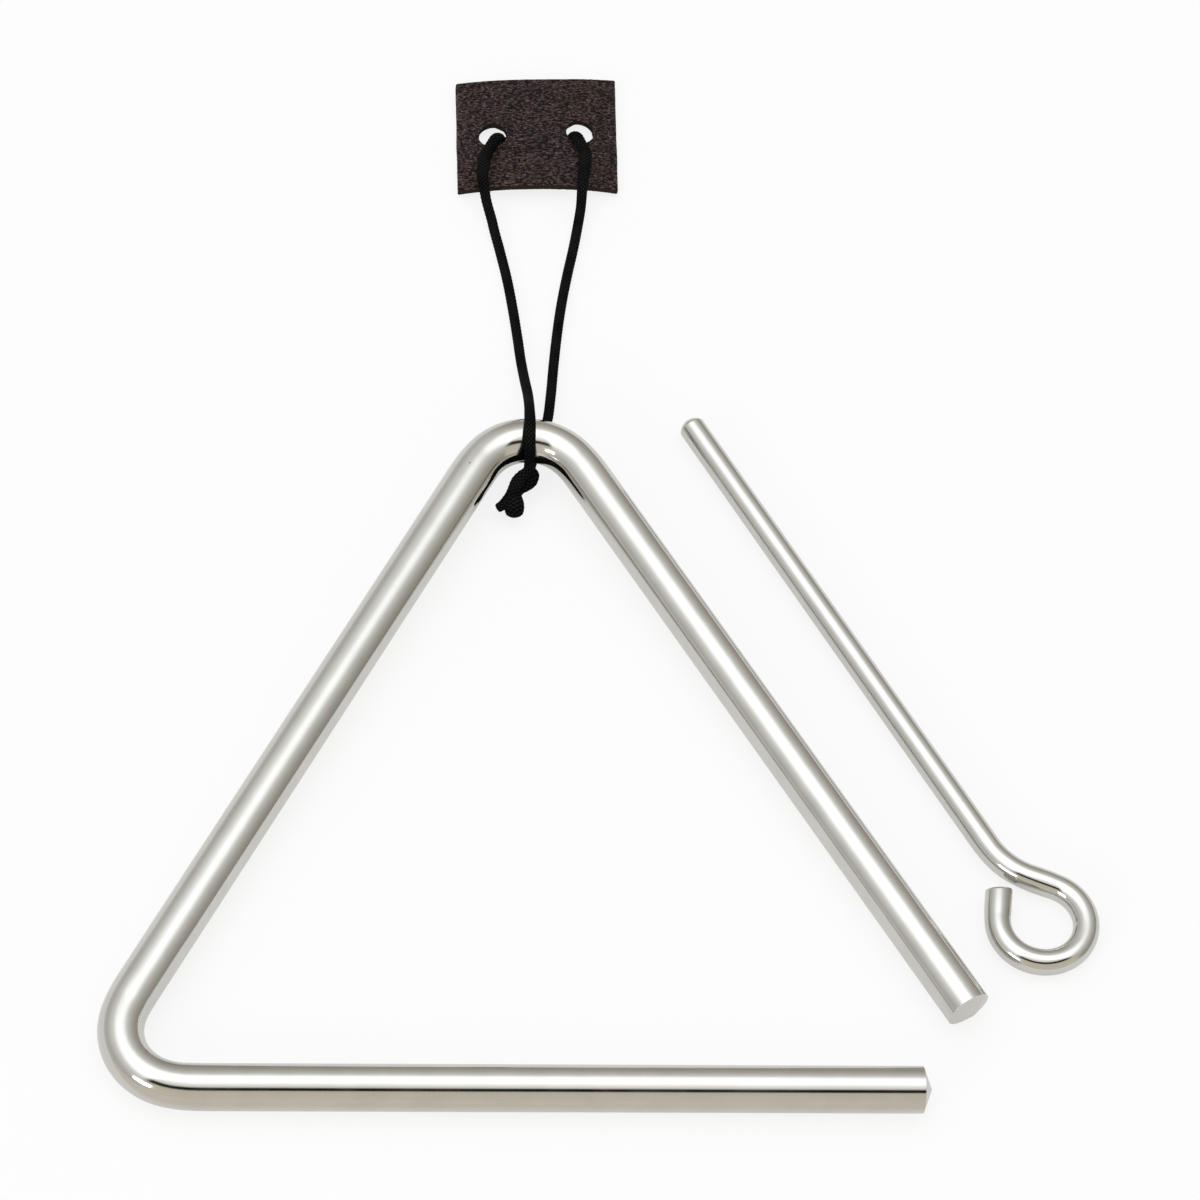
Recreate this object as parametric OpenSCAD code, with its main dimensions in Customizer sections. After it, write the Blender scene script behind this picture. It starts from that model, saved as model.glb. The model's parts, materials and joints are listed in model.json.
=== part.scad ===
// A struck triangle lying flat beside its beater, with its leather holder laid out above it.
// The table is z = 0, +X runs along the base leg towards its free end, and +Y runs up towards the holder.
// The origin is on the table, in the middle of the box round the triangle, the beater and the tab.

/* [Triangle] */
// Side of the triangle, from corner to corner of the rod's centreline, were the corners sharp
side_l = 169.5; // [150:0.5:200]
// Diameter of the rod
rod_d = 8.5; // [6.5:0.1:10]
// Radius of the two closed corners, at the centreline
corner_r = 11.2; // [10:0.1:20]
// How far each free end stops short of the open corner
end_gap = 17; // [14:0.5:40]
// Height of the cone turned on each free end
end_cone_h = 1.6; // [0.4:0.1:3]
// How much thinner than its straight lengths a rod draws out in a bend
bend_thinning = 0.15; // [0.13:0.01:0.3]

/* [Beater] */
// Diameter of the beater
beater_d = 5; // [3:0.1:6]
// Length from the tip to the neck's first bend
shank_l = 105.2; // [80:0.2:130]
// Height of the domed tip
tip_dome_h = 1.5; // [0.5:0.1:2]
// Radius of the neck's bend, at the centreline
neck_r = 14.8; // [10:0.2:20]
// How far the neck bends aside, in degrees
neck_a = 39.3; // [20:0.1:60]
// Straight length between the neck and the eye
link_l = 4.8; // [2:0.2:10]
// Radius of the eye, at the centreline
eye_r = 8.1; // [7:0.1:10]
// How far the eye goes round, in degrees
eye_a = 255; // [220:1:265]
// Straight length that closes the eye
hook_l = 6.1; // [2:0.1:8]
// Radius of the edge at the cut end
cut_edge_r = 0.6; // [0.2:0.1:1]

/* [Leather tab] */
// Width of the tab
tab_w = 31.2; // [28:0.2:40]
// Height of the tab
tab_h = 26.8; // [22:0.2:40]
// Thickness of the leather
tab_t = 1.5; // [1:0.1:2]
// How far the tab arches over the cord behind it
tab_arch = 2.6; // [2.6:0.1:4]
// Diameter of the two punched holes
hole_d = 5.4; // [5.2:0.1:6]
// Distance between the holes
hole_pitch = 17.1; // [16.5:0.1:18]
// Turn of the line through the holes, in degrees
hole_turn = 4; // [2:0.5:6]

/* [Cord] */
// Diameter of the cord
cord_d = 2; // [1.5:0.1:2]

/* [Layout] */
// Clear height that lets the cord swing under the rod
swing_gap = 0.55; // [0.55:0.05:1.5]
// Place of the beater's tip beside the apex, along the base leg
beater_x = 31; // [28:0.5:60]
// Place of the beater's tip beside the apex, square to the base leg
beater_y = 7.6; // [0:0.2:20]
// Direction in which the beater's shank lies, in degrees
beater_turn = -61.2; // [-62:0.1:-58]
// Place of the tab's middle above the apex, along the base leg
tab_x = 4.55; // [4:0.05:5]
// Place of the tab's middle above the apex, square to the base leg
tab_y = 74.3; // [74:0.1:75]

/* [Hidden] */
$fn = 64;
cord_sides = 8;
cut_over = 1;

steel = "#b9b7b2";
leather = "#3a2f2d";
cord_black = "#161517";

// The triangle: every corner is a third of a turn past straight
corner_a = 120;
corner_cut = corner_r * tan(corner_a / 2);
base_run = side_l - end_gap - corner_cut - end_cone_h;
left_run = side_l - 2 * corner_cut;
right_run = side_l - end_gap - corner_cut - end_cone_h;
apex_rise = side_l * sin(corner_a / 2) - corner_r;
apex_lift = cord_d + swing_gap;
tilt = asin(apex_lift / apex_rise);

// The beater's middle line, followed from its tip to the cut end
neck_heading = beater_turn + neck_a;
neck_at = shank_l * heading(beater_turn);
link_at = neck_at + neck_r * (side_of(neck_heading) - side_of(beater_turn));
eye_at = link_at + link_l * heading(neck_heading);
eye_middle = eye_at + eye_r * side_of(neck_heading);
hook_run = hook_l - cut_edge_r;
dome_r = (pow(beater_d / 2, 2) + pow(tip_dome_h, 2)) / (2 * tip_dome_h);

// The arched tab: the radius under it, and its hand-cut corners as shares of its width and height
tab_corner_shares = [[-0.5, -0.51], [0.49, -0.48], [0.51, 0.53], [-0.49, 0.47]];
half_share = 0.51;
top_share = 0.53;
hole_middle_shares = [-0.006, -0.015];
tab_inner_r = (pow(half_share * tab_w, 2) + pow(tab_arch, 2)) / (2 * tab_arch);

// The box round the three laid pieces, measured from the apex bend, gives the place of the origin
low_x = -side_l / 2 + corner_cut - corner_r - (rod_d - bend_thinning) / 2;
high_x = beater_x + eye_middle.x + eye_r + (beater_d - bend_thinning) / 2;
low_y = -apex_rise * cos(tilt) - rod_d / 2;
high_y = tab_y + top_share * tab_h;
apex = [-(low_x + high_x) / 2, -(low_y + high_y) / 2];
base_corner = [apex.x - side_l / 2, apex.y + low_y + rod_d / 2];

// The cord's middle line from the knot over the rod, through the tab and back under the rod.
// It is measured from the point of the table under the apex bend.
cord_route = [
    [-0.2, -6.3, 3.6],
    [-0.1, -6.1, 6.6],
    [-0.1, -5.1, 9.8],
    [-0.1, -2.7, 12],
    [-0.1, 0.4, 12.7],
    [0, 3.6, 11.7],
    [0.2, 7.2, 9],
    [0.3, 11.6, 5.8],
    [0.1, 16.4, 3.1],
    [-0.3, 22, 1.4],
    [-0.7, 27.2, 1],
    [-1.4, 34, 1],
    [-2.3, 41, 1],
    [-3.5, 47.8, 1],
    [-4.5, 52.8, 1.4],
    [-5.2, 56.6, 2.9],
    [-5.8, 60.4, 4.4],
    [-6.1, 64.6, 4.7],
    [-5.9, 68.2, 4.9],
    [-5.1, 70.9, 4.9],
    [-4.3, 72.3, 4.2],
    [-3.7, 73, 3.1],
    [-3, 73.5, 1.9],
    [-1.9, 73.6, 1.1],
    [-0.5, 73.6, 1],
    [4.4, 73.9, 1],
    [9.2, 74.3, 1],
    [10.6, 74.5, 1.1],
    [11.7, 74.7, 1.9],
    [12.4, 74.4, 3.1],
    [12.9, 73.6, 4.2],
    [13.5, 71.9, 4.9],
    [13.8, 69, 4.9],
    [13.6, 65, 4.9],
    [13.1, 60.9, 4.8],
    [12.5, 57, 3.1],
    [11.8, 53.2, 1.4],
    [10.8, 48.2, 1],
    [9.4, 42, 1],
    [8, 35, 1],
    [6.9, 28, 1],
    [6, 21, 1],
    [5.2, 14, 1],
    [4.4, 8.6, 1],
    [3.1, 4.2, 1],
    [1.5, 0, 1],
    [0.6, -3, 1.3],
    [0.2, -5.4, 2.4],
];

// The knot, as two lumps and two tails measured from the same point
knot_r = 2.7;
knot_at = [-0.6, -7.1, knot_r];
lump_r = 2.4;
lump_at = [-2.6, -10.6, lump_r];
tail_starts = [[-3, -10.8, 1.6], [-2.6, -11, 1.4]];
tail_ends = [[-6, -10.4, 1.1], [-3.3, -14, 1.1]];

function heading(a) = [cos(a), sin(a)];
function side_of(a) = [sin(a), -cos(a)];
function unit(v) = v / norm(v);
function tangents(p) = [
    for (i = [0 : len(p) - 1]) unit(p[min(i + 1, len(p) - 1)] - p[max(i - 1, 0)])
];
function carried(ts, n, i = 0) = i == len(ts) ? [] :
    let (m = unit(n - (n * ts[i]) * ts[i])) concat([m], carried(ts, m, i + 1));

// A closed tube swept along a route, with one ring at each of its points
module tube(route, d, sides) {
    ts = tangents(route);
    ns = carried(ts, [0, 1, 1]);
    last = len(route) - 1;
    rings = [
        for (i = [0 : last], k = [0 : sides - 1])
            let (a = 360 * k / sides, b = cross(ts[i], ns[i]))
            route[i] + d / 2 * (cos(a) * ns[i] + sin(a) * b)
    ];
    walls = [
        for (i = [0 : last - 1], k = [0 : sides - 1])
            let (a = i * sides + k, b = i * sides + (k + 1) % sides)
            each [[a, a + sides, b + sides], [a, b + sides, b]]
    ];
    first_cap = [for (k = [1 : sides - 2]) [0, k, k + 1]];
    last_cap = [for (k = [1 : sides - 2]) [last * sides, last * sides + k + 1, last * sides + k]];
    polyhedron(points = rings, faces = concat(walls, first_cap, last_cap));
}

// A straight length of rod, with what follows it placed at its far end
module run(l, d) {
    rotate([0, 90, 0]) cylinder(h = l, d = d);
    translate([l, 0, 0]) children();
}

// Boxes that hold what lies ahead of a ring's start, and behind its end
module ahead(reach, d) {
    translate([0, -reach, -d]) cube([reach, 2 * reach, 2 * d]);
}
module behind(reach, d) {
    translate([-reach, -reach, -d]) cube([reach, 2 * reach, 2 * d]);
}

// A bend of less than a full turn, to the left where its angle is positive, a little thinner than the rod.
// It is a ring cut square to its own line at both ends, and what follows is placed at its far end.
module bend(r, a, d) {
    reach = r + d;
    translate([0, sign(a) * r, 0]) {
        if (abs(a) < 180)
            intersection() {
                ring(r, d);
                ahead(reach, d);
                rotate([0, 0, a]) behind(reach, d);
            }
        else
            difference() {
                ring(r, d);
                intersection() {
                    behind(reach, d);
                    rotate([0, 0, a]) ahead(reach, d);
                }
            }
        rotate([0, 0, a]) translate([0, -sign(a) * r, 0]) children();
    }
}
module ring(r, d) {
    rotate_extrude() translate([r, 0]) circle(d = d - bend_thinning);
}

// The cone turned on a free end of the triangle, pointing away from the rod
module end_cone() {
    rotate([0, 90, 0]) cylinder(h = end_cone_h, d1 = rod_d, d2 = 0);
}

// The first of the beater's shank, ground to a low dome
module domed_tip() {
    intersection() {
        translate([dome_r, 0, 0]) sphere(r = dome_r);
        rotate([0, 90, 0]) cylinder(h = dome_r, d = beater_d);
    }
}

// The rounded end where the beater's rod was cut off
module cut_end() {
    rotate([0, 90, 0]) rotate_extrude() {
        square([beater_d / 2 - cut_edge_r, cut_edge_r]);
        intersection() {
            translate([beater_d / 2 - cut_edge_r, 0]) circle(r = cut_edge_r);
            square([beater_d / 2, cut_edge_r]);
        }
    }
}

// The bent bar, from the base leg's free end round to the other free end.
// It lies on the base leg, tilted up until the apex clears the cord under it.
module triangle_rod() {
    color(steel)
    translate([base_corner.x, base_corner.y, rod_d / 2]) rotate([tilt, 0, 0])
        translate([corner_cut + base_run, 0, 0]) {
            end_cone();
            rotate([0, 0, 180])
                run(base_run, rod_d) bend(corner_r, -corner_a, rod_d)
                run(left_run, rod_d) bend(corner_r, -corner_a, rod_d)
                run(right_run, rod_d) end_cone();
        }
}

// The beater, from its domed tip down the shank and round the eye
module beater() {
    color(steel)
    translate([apex.x + beater_x, apex.y + beater_y, beater_d / 2]) rotate([0, 0, beater_turn]) {
        domed_tip();
        translate([dome_r, 0, 0])
            run(shank_l - dome_r, beater_d) bend(neck_r, neck_a, beater_d)
            run(link_l, beater_d) bend(eye_r, -eye_a, beater_d)
            run(hook_run, beater_d) cut_end();
    }
}

// The leather tab, arched from one side edge to the other, with its two punched holes
module leather_tab() {
    corners = [for (s = tab_corner_shares) [s.x * tab_w, s.y * tab_h]];
    color(leather)
    translate([apex.x + tab_x, apex.y + tab_y, 0]) difference() {
        intersection() {
            translate([0, tab_h, tab_arch - tab_inner_r]) rotate([90, 0, 0]) difference() {
                cylinder(h = 2 * tab_h, r = tab_inner_r + tab_t, $fn = 192);
                translate([0, 0, -cut_over]) cylinder(h = 2 * (tab_h + cut_over), r = tab_inner_r, $fn = 192);
            }
            linear_extrude(tab_arch + tab_t + cut_over) polygon(corners);
        }
        translate([hole_middle_shares.x * tab_w, hole_middle_shares.y * tab_h, -cut_over]) rotate(hole_turn)
            for (side = [-1, 1]) translate([side * hole_pitch / 2, 0, 0])
                cylinder(h = tab_arch + tab_t + 2 * cut_over, d = hole_d);
    }
}

// The cord's loop, from the knot and back to it
module hanging_cord() {
    color(cord_black)
    translate([apex.x, apex.y, 0]) tube(cord_route, cord_d, cord_sides);
}

// A short straight length of cord, cut square
module tail(from, to) {
    along = to - from;
    translate(from) rotate([0, acos(along.z / norm(along)), atan2(along.y, along.x)])
        cylinder(h = norm(along), d = cord_d);
}

// The knot that ties the cord's two ends, with its tails
module cord_knot() {
    color(cord_black)
    translate([apex.x, apex.y, 0]) {
        translate(knot_at) sphere(r = knot_r);
        translate(lump_at) sphere(r = lump_r);
        for (i = [0 : len(tail_starts) - 1]) tail(tail_starts[i], tail_ends[i]);
    }
}

triangle_rod();
beater();
leather_tab();
hanging_cord();
cord_knot();
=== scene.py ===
"""Looks of a struck triangle, its beater and its leather holder, laid out on a pale table."""
import json
import math

import bpy
import numpy as np
from mathutils import Matrix, Vector, noise
from mathutils.geometry import delaunay_2d_cdt


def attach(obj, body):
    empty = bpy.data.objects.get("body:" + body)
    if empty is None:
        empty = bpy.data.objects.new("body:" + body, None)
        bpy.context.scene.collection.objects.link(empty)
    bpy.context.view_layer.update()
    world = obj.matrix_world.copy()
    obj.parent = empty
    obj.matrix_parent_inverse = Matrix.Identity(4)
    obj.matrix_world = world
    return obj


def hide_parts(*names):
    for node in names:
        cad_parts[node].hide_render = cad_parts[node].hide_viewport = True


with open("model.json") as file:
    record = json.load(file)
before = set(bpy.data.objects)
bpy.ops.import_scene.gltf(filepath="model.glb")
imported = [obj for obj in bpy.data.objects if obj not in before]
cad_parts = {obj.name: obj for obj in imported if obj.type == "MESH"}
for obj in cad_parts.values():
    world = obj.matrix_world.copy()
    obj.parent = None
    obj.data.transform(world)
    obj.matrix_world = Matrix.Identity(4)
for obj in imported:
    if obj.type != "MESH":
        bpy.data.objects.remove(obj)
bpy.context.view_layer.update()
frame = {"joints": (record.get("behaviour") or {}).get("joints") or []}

MM = 0.001

# Triangle rod
SIDE = 169.5 * MM
ROD_D = 8.5 * MM
CORNER_R = 11.2 * MM
END_GAP = 17 * MM
END_CONE_H = 1.6 * MM
BEND_THINNING = 0.15 * MM
CORNER_TURN = math.radians(120)
BEND_EASE = 14 * MM
BEND_R = 10.44 * MM
APEX_LIFT = 2.55 * MM
ROD_SIDES = 96
ROD_TURN_STEP = math.radians(1.5)
# The turned cone in shares: of its blunt tip, of its height, and of the rounding of its ridge
CONE_BLUNT = 0.12 * MM
CONE_BLUNT_SHARES = ((0.35, 0.0), (0.5, 0.55), (1.0, 1.0))
CONE_SHARES = (0.3, 0.6, 0.85)
RIDGE_R = 0.06 * MM
RIDGE_SHARES = (1.6, 1.0, 0.45, 0.12)
PAST_RIDGE_SHARES = ((0.35, 0.04), (0.9, 0.0), (2.2, 0.0))

# Beater
BEATER_D = 5 * MM
SHANK = 105.2 * MM
TIP_DOME_H = 1.5 * MM
DOME_STEPS = 9
DOME_SHARE = 0.985
DOME_EDGE_R = 0.1 * MM
DOME_EDGE_SHARES = ((0.5, 0.05), (1.2, 0.0), (3.0, 0.0))
NECK_R = 14.8 * MM
NECK_TURN = math.radians(39.3)
LINK = 4.8 * MM
EYE_R = 8.1 * MM
EYE_TURN = math.radians(255)
HOOK = 6.1 * MM
CUT_EDGE_R = 0.5 * MM
CUT_FLAT_SHARES = (1.6, 1.1)
CUT_EDGE_STEPS = 7
PAST_CUT_SHARE = 1.5
SHEARED_L = 2.4 * MM
SHEAR_SLOPE = 0.32
SHEAR_SKEW = 0.14
EYE_EASE = 5 * MM
BEATER_PLACE = Vector((31, 7.6)) * MM
BEATER_HEADING = math.radians(-61.2)
BEATER_SIDES = 72
BEATER_TURN_STEP = math.radians(2.5)

# Leather tab
TAB_W = 31.2 * MM
TAB_H = 26.8 * MM
TAB_T = 1.5 * MM
TAB_CORNER_SHARES = ((-0.505, -0.505), (0.494, -0.475), (0.512, 0.53), (-0.495, 0.47))
TAB_PLACE = Vector((4.55, 74.3)) * MM
HOLE_D = 5.4 * MM
HOLE_PITCH = 17.1 * MM
HOLE_TURN = math.radians(4)
HOLE_MIDDLE_SHARES = (-0.006, -0.015)
# Its bow from the lower edge to the upper one, in millimetres, and how the sides come down from it
TAB_BOW = (1.75, 2.7, 3.4)
TAB_BOW_POWER = 2.4
TAB_DROOP_SHARE = 0.06
TAB_HELD_UP = 0.5 * MM
TAB_REST = 0.15 * MM
# Its cut edges, and the net of points that carries its grain
EDGE_R = 0.28 * MM
EDGE_WAVE = 0.16 * MM
EDGE_ROUND_SHARES = (0.35, 0.7, 1.0)
EDGE_WALL_SHARES = (0.55, 0.3)
EDGE_SOFT = 0.12 * MM
EDGE_LAST, EDGE_LAST_SHARE = 0.02 * MM, 0.4
EDGE_FRAY = 0.05 * MM
CORNER_BLUNT = 0.25 * MM
NET_STEP = 0.18 * MM
NET_ROW_SHARE = 0.866
NET_REACH_SHARE = 1.1
NET_SWAY_SHARE = 0.12
NET_KEEP_OFF_SHARE = 0.55
NET_SEED = 11
HOLE_POINTS = 72
HOLE_SWELL = 0.008
GRAIN_DEPTH, FLESH_DEPTH = 0.14 * MM, 0.03 * MM
# Scales per metre of the chance in its outline and skins, and how it makes the pebbles of its grain
EDGE_SCALES, EDGE_ROW, HOLE_SCALE = (900, 160), 7.3, 900
FLESH_SCALE, FRAY_SCALES = 2600, (3100, 2600)
PEBBLE_SCALES, SWELL_SCALES, SWAY_SCALE = (1150, 2000), (1400, 2600), 420
PEBBLE_SWAY, PEBBLE_SLOPE, PEBBLE_LOW, PEBBLE_RISE = 1.1, 0.5, 0.3, 0.7
SWELL_RANGE = (0.2, 0.8)
# What its points carry: 0 on the grain side, up to 1 down the cut edge, 2 on the flesh side
EDGE_RISE, FLESH_SIDE = 0.35, 2.0
EDGE_GRAIN, FLESH_GRAIN = 0.8, 0.5

# Cord, whose route is in millimetres from the point of the table under the apex bend
CORD_D = 2 * MM
CORD_ROUTE = (
    (-0.2, -6.3, 3.6), (-0.1, -6.1, 6.6), (-0.1, -5.1, 9.8), (-0.1, -2.7, 12),
    (-0.1, 0.4, 12.7), (0, 3.6, 11.7), (0.2, 7.2, 9), (0.3, 11.6, 5.8),
    (0.1, 16.4, 3.1), (-0.3, 22, 1.4), (-0.7, 27.2, 1), (-1.4, 34, 1),
    (-2.3, 41, 1), (-3.5, 47.8, 1), (-4.5, 52.8, 1.4), (-5.2, 56.6, 2.9),
    (-5.8, 60.4, 4.4), (-6.1, 64.6, 4.7), (-5.9, 68.2, 4.9), (-5.1, 70.9, 4.9),
    (-4.3, 72.3, 4.2), (-3.7, 73, 3.1), (-3, 73.5, 1.9), (-1.9, 73.6, 1.1),
    (-0.5, 73.6, 1), (4.4, 73.9, 1), (9.2, 74.3, 1), (10.6, 74.5, 1.1),
    (11.7, 74.7, 1.9), (12.4, 74.4, 3.1), (12.9, 73.6, 4.2), (13.5, 71.9, 4.9),
    (13.8, 69, 4.9), (13.6, 65, 4.9), (13.1, 60.9, 4.8), (12.5, 57, 3.1),
    (11.8, 53.2, 1.4), (10.8, 48.2, 1), (9.4, 42, 1), (8, 35, 1),
    (6.9, 28, 1), (6, 21, 1), (5.2, 14, 1), (4.4, 8.6, 1),
    (3.1, 4.2, 1), (1.5, 0, 1), (0.6, -3, 1.3), (0.2, -5.4, 2.4),
)
ROUTE_CLIMB = 3.9 * MM
CORD_STEP = 0.16 * MM
CORD_SIDES = 40
# Where tension draws the cord sideways, as place and way: at both holes and at the tab's lower edge
CORD_PULLS = ((-4.2, 73.3, 0.85, -0.25), (12.9, 74.5, -0.85, -0.95),
              (-5.9, 60.5, -0.5, 0), (13.2, 63, -0.3, 0))
PULL_END, PULL_FULL = 7 * MM, 2 * MM
# Its climb on to the leather is evened out over some steps, between these places below the tab's middle
EVENED_STEPS = 15
EVENED_TOP, EVENED_FULL, EVENED_END = -5 * MM, -8 * MM, -28 * MM
# It flattens where it bears on the rod, round a place past the apex, and where it lies on the leather
ROD_SPREAD, LEATHER_SPREAD, PRESSED_SHARE = 0.12, 0.26, 0.6
ROD_BEAR_UP, ROD_BEAR_L, ROD_BEAR_Z = 0.2 * MM, 3.2 * MM, 8 * MM
LEATHER_UP, LEATHER_Z = (57 * MM, 67 * MM), (2.4 * MM, 3.8 * MM)

# Knot: the two ends of the cord, each point with the cord's radius there, which swells where it frays
FRONT_END = (
    (-0.1, -6.1, 6.8, 1), (-0.4, -6.9, 6.6, 1.06), (-1.4, -7.7, 6.3, 1.18), (-2.3, -8.6, 5.6, 1.26),
    (-3, -9.8, 4.9, 1.12), (-3.6, -10.8, 4.3, 1.04), (-4.3, -11.6, 3.6, 1.05), (-5.1, -12.2, 3, 0.98),
    (-6, -12.6, 2.6, 0.9),
)
BACK_END = (
    (0.6, -3, 1.3, 1), (0.9, -4.8, 2.9, 1.1), (0.9, -6.6, 4.5, 1.14), (0.4, -7.7, 4.4, 1.2),
    (-0.6, -8.2, 3.9, 1.22), (-1.7, -8.6, 3.3, 1.18), (-2.5, -9.8, 3.1, 1.3), (-2.8, -11.3, 3.3, 1.8),
    (-2.8, -12.7, 3.3, 1.92), (-2.8, -14, 3.2, 1.65), (-2.8, -14.6, 3.1, 1.05),
)

# The camera stands in front of the base leg, a little to the left, and is rolled
VIEW_ELEVATION = math.radians(57.72)
VIEW_TURN = math.radians(10.09)
VIEW_ROLL = math.radians(9.188)
VIEW_DISTANCE = 1168 * MM
VIEW_TARGET = Vector((2.7195, -5.2833, 0)) * MM
SENSOR_W = 36
FRAME_PIXELS = 1200
FOCAL_PIXELS = 6255

# The point of the table under the apex bend
SWING = next(joint for joint in frame["joints"] if joint["name"] == "holder_swing")
APEX = Vector((*SWING["pos_m"][:2], 0))


def put(name, data):
    """A new object in the scene."""
    made = bpy.data.objects.new(name, data)
    bpy.context.scene.collection.objects.link(made)
    return made


def make_camera():
    """Camera at the photograph's viewing angle."""
    right_flat = Vector((1, 0, 0))
    up_flat = Vector((0, math.sin(VIEW_ELEVATION), math.cos(VIEW_ELEVATION)))
    back = Vector((0, -math.cos(VIEW_ELEVATION), math.sin(VIEW_ELEVATION)))
    right = right_flat * math.cos(VIEW_ROLL) + up_flat * math.sin(VIEW_ROLL)
    up = up_flat * math.cos(VIEW_ROLL) - right_flat * math.sin(VIEW_ROLL)
    turn = Matrix.Rotation(-VIEW_TURN, 3, "Z")
    axes = turn @ Matrix((right, up, back)).transposed()
    data = bpy.data.cameras.new("view")
    data.sensor_fit = "HORIZONTAL"
    data.sensor_width = SENSOR_W
    data.lens = SENSOR_W * FOCAL_PIXELS / FRAME_PIXELS
    camera = put("view", data)
    camera.matrix_world = Matrix.LocRotScale(VIEW_TARGET + turn @ back * VIEW_DISTANCE, axes, None)
    bpy.context.scene.camera = camera


def smoothstep(low, high, x):
    """0 below low, 1 above high, and a smooth rise between them."""
    t = np.clip((np.asarray(x, float) - low) / (high - low), 0, 1)
    return t * t * (3 - 2 * t)


def make_mesh(name, points, faces, material):
    """A smooth-shaded mesh object in the scene."""
    mesh = bpy.data.meshes.new(name)
    mesh.from_pydata([tuple(p) for p in points], [], faces)
    mesh.polygons.foreach_set("use_smooth", [True] * len(mesh.polygons))
    mesh.validate()
    mesh.materials.append(material)
    return put(name, mesh)


def point_attribute(piece, name, kind, values):
    """Stores one value a point on a piece."""
    attribute = piece.data.attributes.new(name, kind, "POINT")
    key = "vector" if kind == "FLOAT_VECTOR" else "value"
    attribute.data.foreach_set(key, np.asarray(values, np.float32).ravel())


# Node trees

def link_chain(tree, *sockets):
    """Links pairs of sockets, given one after the other."""
    for a, b in zip(sockets[::2], sockets[1::2]):
        tree.links.new(a, b)


def add_node(tree, kind, inputs=None, **settings):
    """A node with its settings and the values or links of its inputs."""
    node = tree.nodes.new(kind)
    for key, value in settings.items():
        setattr(node, key, value)
    for key, value in (inputs or {}).items():
        if isinstance(value, bpy.types.NodeSocket):
            tree.links.new(value, node.inputs[key])
        else:
            node.inputs[key].default_value = value
    return node


def math_node(tree, operation, *values, clamp=False):
    """The output of a math node."""
    node = add_node(tree, "ShaderNodeMath", dict(enumerate(values)), operation=operation, use_clamp=clamp)
    return node.outputs[0]


def product(tree, a, b):
    """Two values multiplied."""
    return math_node(tree, "MULTIPLY", a, b)


def total(tree, a, b):
    """Two values added."""
    return math_node(tree, "ADD", a, b)


def stretched(tree, vector, *shares):
    """A place multiplied by a share along each axis."""
    return add_node(tree, "ShaderNodeVectorMath", {0: vector, 1: shares}, operation="MULTIPLY").outputs[0]


def map_range(tree, value, low, high, to_low=0.0, to_high=1.0):
    """A value brought smoothly from one range to another."""
    return add_node(tree, "ShaderNodeMapRange", {0: value, 1: low, 2: high, 3: to_low, 4: to_high},
                    interpolation_type="SMOOTHSTEP").outputs[0]


def mix_colour(tree, share, a, b):
    """Two colours mixed."""
    a, b = (end if isinstance(end, bpy.types.NodeSocket) else (*end, 1) for end in (a, b))
    return add_node(tree, "ShaderNodeMix", {0: share, 6: a, 7: b}, data_type="RGBA").outputs[2]


def noise_value(tree, vector, scale, detail=2.0, roughness=0.5):
    """A noise texture's value."""
    values = {"Vector": vector, "Scale": scale, "Detail": detail, "Roughness": roughness}
    return add_node(tree, "ShaderNodeTexNoise", values).outputs[0]


def new_material(name):
    """An empty material, with its tree and its Principled shader."""
    material = bpy.data.materials.new(name)
    material.use_nodes = True
    tree = material.node_tree
    return material, tree, tree.nodes["Principled BSDF"]


def read_attribute(tree, name, output="Fac"):
    """What the points of a piece carry under a name."""
    return add_node(tree, "ShaderNodeAttribute", attribute_name=name).outputs[output]


def dress(tree, shader, tone, rough, height, depth, strength=1.0):
    """Gives a shader its colour, its roughness and its fine relief."""
    bump = add_node(tree, "ShaderNodeBump", {"Height": height, "Strength": strength, "Distance": depth})
    link_chain(tree, tone, shader.inputs["Base Color"], rough, shader.inputs["Roughness"],
               bump.outputs[0], shader.inputs["Normal"])


def new_group(name, inputs, outputs):
    """A shader node group with named inputs, which have values, and named number outputs."""
    group = bpy.data.node_groups.new(name, "ShaderNodeTree")
    for label, value in inputs.items():
        kind = "NodeSocketVector" if isinstance(value, tuple) else "NodeSocketFloat"
        group.interface.new_socket(label, in_out="INPUT", socket_type=kind).default_value = value
    for label in outputs:
        group.interface.new_socket(label, in_out="OUTPUT", socket_type="NodeSocketFloat")
    return group, group.nodes.new("NodeGroupInput"), group.nodes.new("NodeGroupOutput")


# Rods: a middle line swept by a circle, whose last rings close to a point within a distance

CLOSING = 0.0001 * MM


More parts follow.
